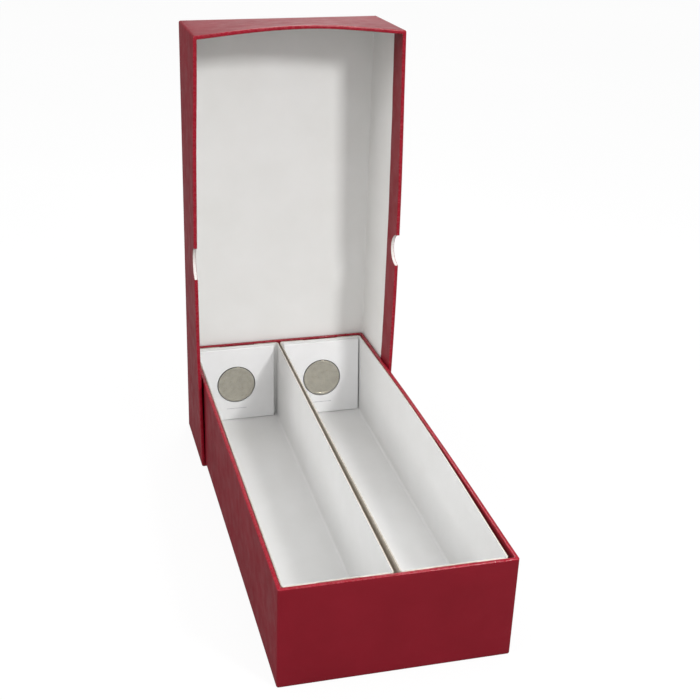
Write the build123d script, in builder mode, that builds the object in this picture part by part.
"""Two-row storage box for 2 inch coin holders, its lid stood on end round the rear of the box.

The origin is on the surface that the object stands on, at the middle of its footprint.
+Z is up, +X is to the right and +Y runs along the rows, from the front of the box to its lid.
"""
import os
from math import asin, atan, cos, degrees, sin, sqrt

from build123d import *

os.makedirs("parts", exist_ok=True)

# Card holder: a card folded once round two films and a coin
holder_size = 50.8
leaf_thickness = 0.45
leaf_fold_radius = 0.4
film_thickness = 0.06
film_parting = 0.02
film_margin = 1.5
film_lap = 0.5
coin_diameter = 24.3
coin_thickness = 1.75
window_margin = 0.6
window_skirt_clearance = 0.15
coin_play = 0.05
coin_rim_width = 1.1
coin_rim_height = 0.15
coin_edge_round = 0.12

# Row trays: thin board with a white ply on its inner side
row_length = 254.4
row_board_thickness = 0.6
row_lining_thickness = 0.1
row_corner_radius = 2.2
row_tab_length = 16.0
row_taper = 1.9
row_gap = 1.1
row_side_gap = 0.4
row_end_gap = 0.4
holder_play = 2.95
holder_side_gap = 0.1
holder_cover = 1.3

# Box halves: scored board, white lining, red wrap turned in over the rim
board_thickness = 1.5
wrap_thickness = 0.2
lining_thickness = 0.15
turn_in_depth = 15.5
corner_radius = 1.2
corner_slit = 0.1
stay_thickness = 0.1
stay_reach = 7.0
stay_rim_distance = 1.5
rim_rise = 0.9
lid_clearance = 0.25
lid_shortfall = 0.3
lid_side_bow = 2.2
lid_end_bow = 4.4
bow_shoulder = 0.66
bow_foot = 8.0
thumb_notch_radius = 10.8

# How the pieces stand
seat_gap = 0.12
lid_rear_gap = 0.4
left_holder_lean = 2.5
left_holder_share = 0.0
right_holder_lean = 5.0
right_holder_share = 0.77

# Sizes that follow from those above
window_diameter = coin_diameter + 2 * window_margin
row_wall = row_board_thickness + row_lining_thickness
row_end = 2 * row_wall
row_outer_rear = holder_size + holder_play + 2 * row_wall
row_outer_front = row_outer_rear - row_taper
row_outer_length = row_length + 2 * row_end
row_height = row_wall + seat_gap + holder_size + holder_cover
row_pitch = row_outer_rear + row_gap
box_wall = wrap_thickness + board_thickness + lining_thickness
rim_wall = box_wall + wrap_thickness
straight_run = wrap_thickness + stay_reach + board_thickness / 2
base_width = 2 * (row_outer_rear + row_side_gap + rim_wall) + row_gap
base_length = row_outer_length + 2 * (row_end_gap + rim_wall)
base_height = box_wall + seat_gap + row_height + rim_rise
lid_width = base_width + 2 * (lid_clearance + rim_wall)
lid_length = base_length + 2 * (lid_clearance + rim_wall)
lid_depth = box_wall + base_height - lid_shortfall

# The rear of the box rests on the rim of the lid's lower end wall, so the box tips forward
lid_front = base_length + lid_rear_gap + box_wall - lid_depth
tip_angle = atan((rim_wall + seat_gap) / lid_front)
front_overhang = base_height * sin(tip_angle)
overall_depth = front_overhang + lid_front + lid_depth
base_front = front_overhang - overall_depth / 2
lid_rim_y = base_front + lid_front

base_plane = Plane(
    origin=(0, base_front, 0), x_dir=(1, 0, 0), z_dir=(0, -sin(tip_angle), cos(tip_angle))
)
lid_plane = Plane(origin=(0, lid_rim_y + lid_depth, 0), x_dir=(1, 0, 0), z_dir=(0, -1, 0))
notch_plane = Plane(origin=(0, lid_rim_y, lid_length / 2), x_dir=(0, 1, 0), z_dir=(1, 0, 0))


def wall_line(start, end, inset, bow, bellied):
    """One side of an outline. A wall that bellies is straight near its corners, where the stays are."""
    start = Vector(*start)
    end = Vector(*end)
    along = (end - start).normalized()
    out = Vector(along.Y, -along.X)
    run = along * (straight_run - inset)
    quarter = along * ((end - start).length / 4 - inset / 2)
    Line(start, start + run)
    if bellied:
        Spline(
            start + run,
            start + quarter + out * bow * bow_shoulder,
            (start + end) / 2 + out * bow,
            end - quarter + out * bow * bow_shoulder,
            end - run,
            tangents=(along, along),
        )
    else:
        Line(start + run, end - run)
    Line(end - run, end)


def box_form(plane, width, length, depth, inset, side_bow=0.0, end_bow=0.0):
    """Block of a box half, its walls and floor brought in by inset, its open side at depth.

    The bows belly the rims of the two long walls and of the far end wall. They die out at bow_foot.
    """
    half = width / 2 - inset
    far = length - inset
    edge_radius = corner_radius - inset
    top = bow_foot if side_bow else depth
    with BuildPart() as form:
        with BuildSketch(plane.offset(inset)) as floor:
            with Locations((0, length / 2)):
                Rectangle(2 * half, length - 2 * inset)
            if edge_radius > 0:
                fillet(floor.vertices(), edge_radius)
        extrude(amount=top - inset)
        if edge_radius > 0:
            fillet(form.faces().sort_by(Axis(plane.origin, plane.z_dir))[0].edges(), edge_radius)
        if side_bow:
            for height, bellied in ((bow_foot, False), (depth, True)):
                with BuildSketch(plane.offset(height)) as outline:
                    with BuildLine():
                        Line((-half, inset), (half, inset))
                        wall_line((half, inset), (half, far), inset, side_bow, bellied)
                        wall_line((half, far), (-half, far), inset, end_bow, bellied)
                        wall_line((-half, far), (-half, inset), inset, side_bow, bellied)
                    make_face()
                    if edge_radius > 0:
                        fillet(outline.vertices().sort_by_distance((0, length / 2))[-4:], edge_radius)
            loft(ruled=True)
    return form.part


def box_forms(plane, width, length, depth, side_bow=0.0, end_bow=0.0):
    """The nested blocks that bound a box half's layers, from its outer face to inside its turn-in."""
    insets = {
        "skin": 0.0,
        "core": wrap_thickness,
        "relief": wrap_thickness + stay_thickness,
        "hollow": wrap_thickness + board_thickness,
        "room": box_wall,
        "mouth": rim_wall,
    }
    return {
        name: box_form(plane, width, length, depth, inset, side_bow, end_bow)
        for name, inset in insets.items()
    }


def corner_blocks(plane, width, length, depth):
    """Blocks over the four corners of a box half, as far as its stays reach."""
    reach = wrap_thickness + stay_reach
    with BuildPart() as blocks:
        with BuildSketch(plane.offset(wrap_thickness + board_thickness)):
            with Locations((0, length / 2)):
                with GridLocations(width, length, 2, 2):
                    Rectangle(2 * reach, 2 * reach)
        extrude(amount=depth - 2 * wrap_thickness - board_thickness - stay_rim_distance)
    return blocks.part


def corner_stays(forms, blocks):
    """Four strips of tape, each bent round one corner and pressed flush into the board."""
    with BuildPart() as stays:
        add(forms["core"])
        add(forms["relief"], mode=Mode.SUBTRACT)
        add(blocks, mode=Mode.INTERSECT)
    return stays.part


def stay_recesses(forms, blocks):
    """What the stays press out of the board."""
    with BuildPart() as recesses:
        add(blocks)
        add(forms["relief"], mode=Mode.SUBTRACT)
    return recesses.part


def folded_board(forms, blocks, plane, width, length, depth):
    """Board blank with its walls folded up. They meet at a slit in each corner, under the stays."""
    with BuildPart() as board:
        add(forms["core"])
        add(forms["hollow"], mode=Mode.SUBTRACT)
        split(bisect_by=plane.offset(depth - wrap_thickness), keep=Keep.BOTTOM)
        add(stay_recesses(forms, blocks), mode=Mode.SUBTRACT)
        with BuildSketch(plane.offset(wrap_thickness + board_thickness)):
            with Locations((0, length / 2)):
                with GridLocations(
                    width - 2 * (wrap_thickness + board_thickness),
                    length - 2 * wrap_thickness - board_thickness,
                    2,
                    2,
                ):
                    Rectangle(corner_slit, board_thickness + 2 * wrap_thickness)
        extrude(amount=depth, mode=Mode.SUBTRACT)
    return board.part


def lining_sheet(forms, plane, depth):
    """White paper on the inner side of the board, up to the board's edge."""
    with BuildPart() as lining:
        add(forms["hollow"])
        add(forms["room"], mode=Mode.SUBTRACT)
        split(bisect_by=plane.offset(depth - wrap_thickness), keep=Keep.BOTTOM)
    return lining.part


def covered_walls(forms, plane, depth):
    """Ring of board and lining that the turned-in band of the wrap closes over."""
    with BuildPart() as walls:
        add(forms["core"])
        add(forms["room"], mode=Mode.SUBTRACT)
        split(bisect_by=plane.offset(depth - turn_in_depth), keep=Keep.TOP)
        split(bisect_by=plane.offset(depth - wrap_thickness), keep=Keep.BOTTOM)
    return walls.part


def wrap_sheet(forms, plane, depth):
    """Red paper over the outer faces, across the rim and down inside as a band."""
    with BuildPart() as below_band:
        add(forms["core"])
        split(bisect_by=plane.offset(depth - turn_in_depth), keep=Keep.BOTTOM)
    with BuildPart() as wrap:
        add(forms["skin"])
        add(below_band.part, mode=Mode.SUBTRACT)
        add(covered_walls(forms, plane, depth), mode=Mode.SUBTRACT)
        add(forms["mouth"], mode=Mode.SUBTRACT)
    return wrap.part


def thumb_notches():
    """Round bar that cuts a half-moon through both long walls of the lid, at the middle of their rims."""
    with BuildPart() as bar:
        with BuildSketch(notch_plane):
            Circle(thumb_notch_radius)
        extrude(amount=lid_width, both=True)
    return bar.part


# Box base
base_forms = box_forms(base_plane, base_width, base_length, base_height)
base_blocks = corner_blocks(base_plane, base_width, base_length, base_height)

with BuildPart() as base_corner_stays:
    add(corner_stays(base_forms, base_blocks))
base_corner_stays.part.label = "base_corner_stays"
export_step(base_corner_stays.part, "parts/base_corner_stays.step")

with BuildPart() as base_board:
    add(folded_board(base_forms, base_blocks, base_plane, base_width, base_length, base_height))
base_board.part.label = "base_board"
export_step(base_board.part, "parts/base_board.step")

with BuildPart() as base_lining:
    add(lining_sheet(base_forms, base_plane, base_height))
base_lining.part.label = "base_lining"
export_step(base_lining.part, "parts/base_lining.step")

with BuildPart() as base_wrap:
    add(wrap_sheet(base_forms, base_plane, base_height))
base_wrap.part.label = "base_wrap"
export_step(base_wrap.part, "parts/base_wrap.step")

# Lid
lid_forms = box_forms(lid_plane, lid_width, lid_length, lid_depth, lid_side_bow, lid_end_bow)
lid_blocks = corner_blocks(lid_plane, lid_width, lid_length, lid_depth)
notches = thumb_notches()

with BuildPart() as lid_corner_stays:
    add(corner_stays(lid_forms, lid_blocks))
lid_corner_stays.part.label = "lid_corner_stays"
export_step(lid_corner_stays.part, "parts/lid_corner_stays.step")

with BuildPart() as lid_board:
    add(folded_board(lid_forms, lid_blocks, lid_plane, lid_width, lid_length, lid_depth))
    add(notches, mode=Mode.SUBTRACT)
lid_board.part.label = "lid_board"
export_step(lid_board.part, "parts/lid_board.step")

with BuildPart() as lid_lining:
    add(lining_sheet(lid_forms, lid_plane, lid_depth))
    add(notches, mode=Mode.SUBTRACT)
lid_lining.part.label = "lid_lining"
export_step(lid_lining.part, "parts/lid_lining.step")

with BuildPart() as lid_wrap:
    add(wrap_sheet(lid_forms, lid_plane, lid_depth))
    add(notches, mode=Mode.SUBTRACT)
lid_wrap.part.label = "lid_wrap"
export_step(lid_wrap.part, "parts/lid_wrap.step")

# Row trays: two alike, side by side. Each is narrower at its front, so a gap opens between them
row_start = rim_wall + row_end_gap
row_floor_level = box_wall + seat_gap
row_plane = Plane(base_plane.location * Pos(row_gap / 2, row_start, row_floor_level))


def width_at(distance):
    """Outer width of a row tray at a distance from its front."""
    return row_outer_front + row_taper * distance / row_outer_length


def row_walls(thickness, inset, floor_level):
    """Side walls, whose ends turn the corners as tabs, from floor_level to the tray's rim."""
    with BuildPart() as walls:
        with BuildSketch(row_plane.offset(floor_level)) as plan:
            with BuildLine():
                Polyline(
                    (0, 0),
                    (row_outer_front, 0),
                    (row_outer_rear, row_outer_length),
                    (0, row_outer_length),
                    close=True,
                )
            make_face()
            fillet(plan.vertices(), row_corner_radius)
            if inset:
                offset(amount=-inset, mode=Mode.REPLACE)
            offset(amount=-thickness, mode=Mode.SUBTRACT)
            with Locations((row_outer_front / 2, row_outer_length / 2)):
                Rectangle(row_outer_front - 2 * row_tab_length, 2 * row_outer_length, mode=Mode.SUBTRACT)
        extrude(amount=row_height - floor_level)
    return walls.part


def row_ends(thickness, start, floor_level):
    """End walls, folded up inside the tabs. Their upright edges stop short of the rounded corners."""
    with BuildPart() as ends:
        with BuildSketch(row_plane.offset(floor_level)):
            for near in (start, row_outer_length - start - thickness):
                span = width_at(near) - 2 * row_corner_radius
                with Locations((width_at(near) / 2, near + thickness / 2)):
                    Rectangle(span, thickness)
        extrude(amount=row_height - floor_level)
    return ends.part


def row_floor(thickness, inset, start, floor_level):
    """Floor, with a tongue at each end that carries the end wall."""
    low = row_corner_radius
    high = row_outer_length - row_corner_radius
    near = start
    far = row_outer_length - start
    with BuildPart() as floor:
        with BuildSketch(row_plane.offset(floor_level)):
            with BuildLine():
                Polyline(
                    (inset, low),
                    (width_at(low) - inset, low),
                    (width_at(high) - inset, high),
                    (inset, high),
                    close=True,
                )
            make_face()
            with BuildLine():
                Polyline(
                    (row_corner_radius, near),
                    (width_at(near) - row_corner_radius, near),
                    (width_at(far) - row_corner_radius, far),
                    (row_corner_radius, far),
                    close=True,
                )
            make_face()
        extrude(amount=thickness)
    return floor.part


with BuildPart() as right_row_tray:
    add(row_floor(row_board_thickness, 0, row_wall, 0))
    add(row_walls(row_board_thickness, 0, 0))
    add(row_ends(row_board_thickness, row_wall, 0))
right_row_tray.part.label = "right_row_tray"
export_step(right_row_tray.part, "parts/right_row_tray.step")

lining_end = row_wall + row_board_thickness
with BuildPart() as right_row_lining:
    add(row_floor(row_lining_thickness, row_board_thickness, lining_end, row_board_thickness))
    add(row_walls(row_lining_thickness, row_board_thickness, row_board_thickness))
    add(row_ends(row_lining_thickness, lining_end, row_board_thickness))
right_row_lining.part.label = "right_row_lining"
export_step(right_row_lining.part, "parts/right_row_lining.step")

with BuildPart() as left_row_tray:
    with Locations((-row_pitch, 0, 0)):
        add(right_row_tray.part)
left_row_tray.part.label = "left_row_tray"
export_step(left_row_tray.part, "parts/left_row_tray.step")

with BuildPart() as left_row_lining:
    with Locations((-row_pitch, 0, 0)):
        add(right_row_lining.part)
left_row_lining.part.label = "left_row_lining"
export_step(left_row_lining.part, "parts/left_row_lining.step")

# Coin holders: each leans back on the rear wall of its row
holder_half = film_parting + film_thickness + leaf_thickness
row_inner_rear = row_start + row_outer_length - row_end
row_inner_floor = row_floor_level + row_wall


def holder_plane(left_edge, lean):
    """Middle plane of a holder, from its lower left corner: X along its foot and Y up the card."""
    angle = asin(lean / holder_size)
    foot = row_inner_rear - seat_gap - holder_size * sin(angle) - holder_half * cos(angle)
    level = row_inner_floor + seat_gap + holder_half * sin(angle)
    return Plane(base_plane.location * Location((left_edge, foot, level), (90 - degrees(angle), 0, 0)))


def holder_card(plane):
    """Two leaves joined by the fold along the top, with a round window through both."""
    with BuildPart() as card:
        with BuildSketch(plane.offset(-holder_half)):
            Rectangle(holder_size, holder_size, align=Align.MIN)
        extrude(amount=2 * holder_half)
        fold = card.edges().filter_by(Axis((0, 0, 0), plane.x_dir)).sort_by(Axis(plane.origin, plane.y_dir))
        fillet(fold[-2:], leaf_fold_radius)
        with BuildSketch(plane.offset(-film_parting - film_thickness)):
            Rectangle(holder_size, holder_size - leaf_thickness, align=Align.MIN)
        extrude(amount=2 * (film_parting + film_thickness), mode=Mode.SUBTRACT)
        with BuildSketch(plane):
            with Locations((holder_size / 2, holder_size / 2)):
                Circle(window_diameter / 2)
        extrude(amount=2 * holder_half, both=True, mode=Mode.SUBTRACT)
    return card.part


def holder_film(plane):
    """Clear film pasted inside the front leaf and pressed out through the window over the coin."""
    middle = plane.location * Pos(holder_size / 2, holder_size / 2, 0)
    section = Plane(origin=middle.position, x_dir=plane.x_dir, z_dir=-plane.y_dir)
    film_size = holder_size - 2 * film_margin
    face_level = coin_thickness / 2 + coin_play
    face_radius = coin_diameter / 2 + coin_play
    skirt_radius = window_diameter / 2 - window_skirt_clearance
    lap_radius = window_diameter / 2 + film_lap
    top = film_parting + film_thickness
    with BuildPart() as film:
        with BuildSketch(plane.offset(film_parting)):
            with Locations((holder_size / 2, (holder_size - leaf_thickness) / 2)):
                Rectangle(film_size, film_size)
            with Locations((holder_size / 2, holder_size / 2)):
                Circle(window_diameter / 2, mode=Mode.SUBTRACT)
        extrude(amount=film_thickness)
        with BuildSketch(section):
            with BuildLine():
                Polyline(
                    (0, face_level),
                    (face_radius, face_level),
                    (skirt_radius, film_parting),
                    (lap_radius, film_parting),
                    (lap_radius, top),
                    (skirt_radius + film_thickness, top),
                    (face_radius + film_thickness, face_level + film_thickness),
                    (0, face_level + film_thickness),
                    close=True,
                )
            make_face()
        revolve(axis=Axis(middle.position, plane.z_dir))
    return film.part


def coin(plane):
    """Struck disc with a raised rim on both faces."""
    with BuildPart() as disc:
        with BuildSketch(plane):
            with Locations((holder_size / 2, holder_size / 2)):
                Circle(coin_diameter / 2)
        extrude(amount=coin_thickness / 2, both=True)
        fillet(disc.edges(), coin_edge_round)
        for level, direction in ((coin_thickness / 2, -1), (-coin_thickness / 2, 1)):
            with BuildSketch(plane.offset(level)):
                with Locations((holder_size / 2, holder_size / 2)):
                    Circle(coin_diameter / 2 - coin_rim_width)
            extrude(amount=direction * coin_rim_height, mode=Mode.SUBTRACT)
    return disc.part


corner_inner_radius = row_corner_radius - row_wall
corner_reach = row_corner_radius - row_end
corner_intrusion = corner_inner_radius - sqrt(corner_inner_radius**2 - corner_reach**2)


def holder_edge(row_edge, share):
    """Left edge of a holder whose room on the left is this share of its play in the row."""
    least = corner_intrusion + holder_side_gap
    return row_edge + row_wall + least + share * (holder_play - 2 * least)


right_row_edge = row_gap / 2
left_row_edge = right_row_edge - row_pitch
left_holder_plane = holder_plane(holder_edge(left_row_edge, left_holder_share), left_holder_lean)
right_holder_plane = holder_plane(holder_edge(right_row_edge, right_holder_share), right_holder_lean)

for side, plane in (("left", left_holder_plane), ("right", right_holder_plane)):
    with BuildPart() as card:
        add(holder_card(plane))
    card.part.label = f"{side}_holder_card"
    export_step(card.part, f"parts/{side}_holder_card.step")

    with BuildPart() as front_film:
        add(holder_film(plane))
    front_film.part.label = f"{side}_holder_front_film"
    export_step(front_film.part, f"parts/{side}_holder_front_film.step")

    with BuildPart() as rear_film:
        mirror(front_film.part, about=plane)
    rear_film.part.label = f"{side}_holder_rear_film"
    export_step(rear_film.part, f"parts/{side}_holder_rear_film.step")

    with BuildPart() as disc:
        add(coin(plane))
    disc.part.label = f"{side}_coin"
    export_step(disc.part, f"parts/{side}_coin.step")
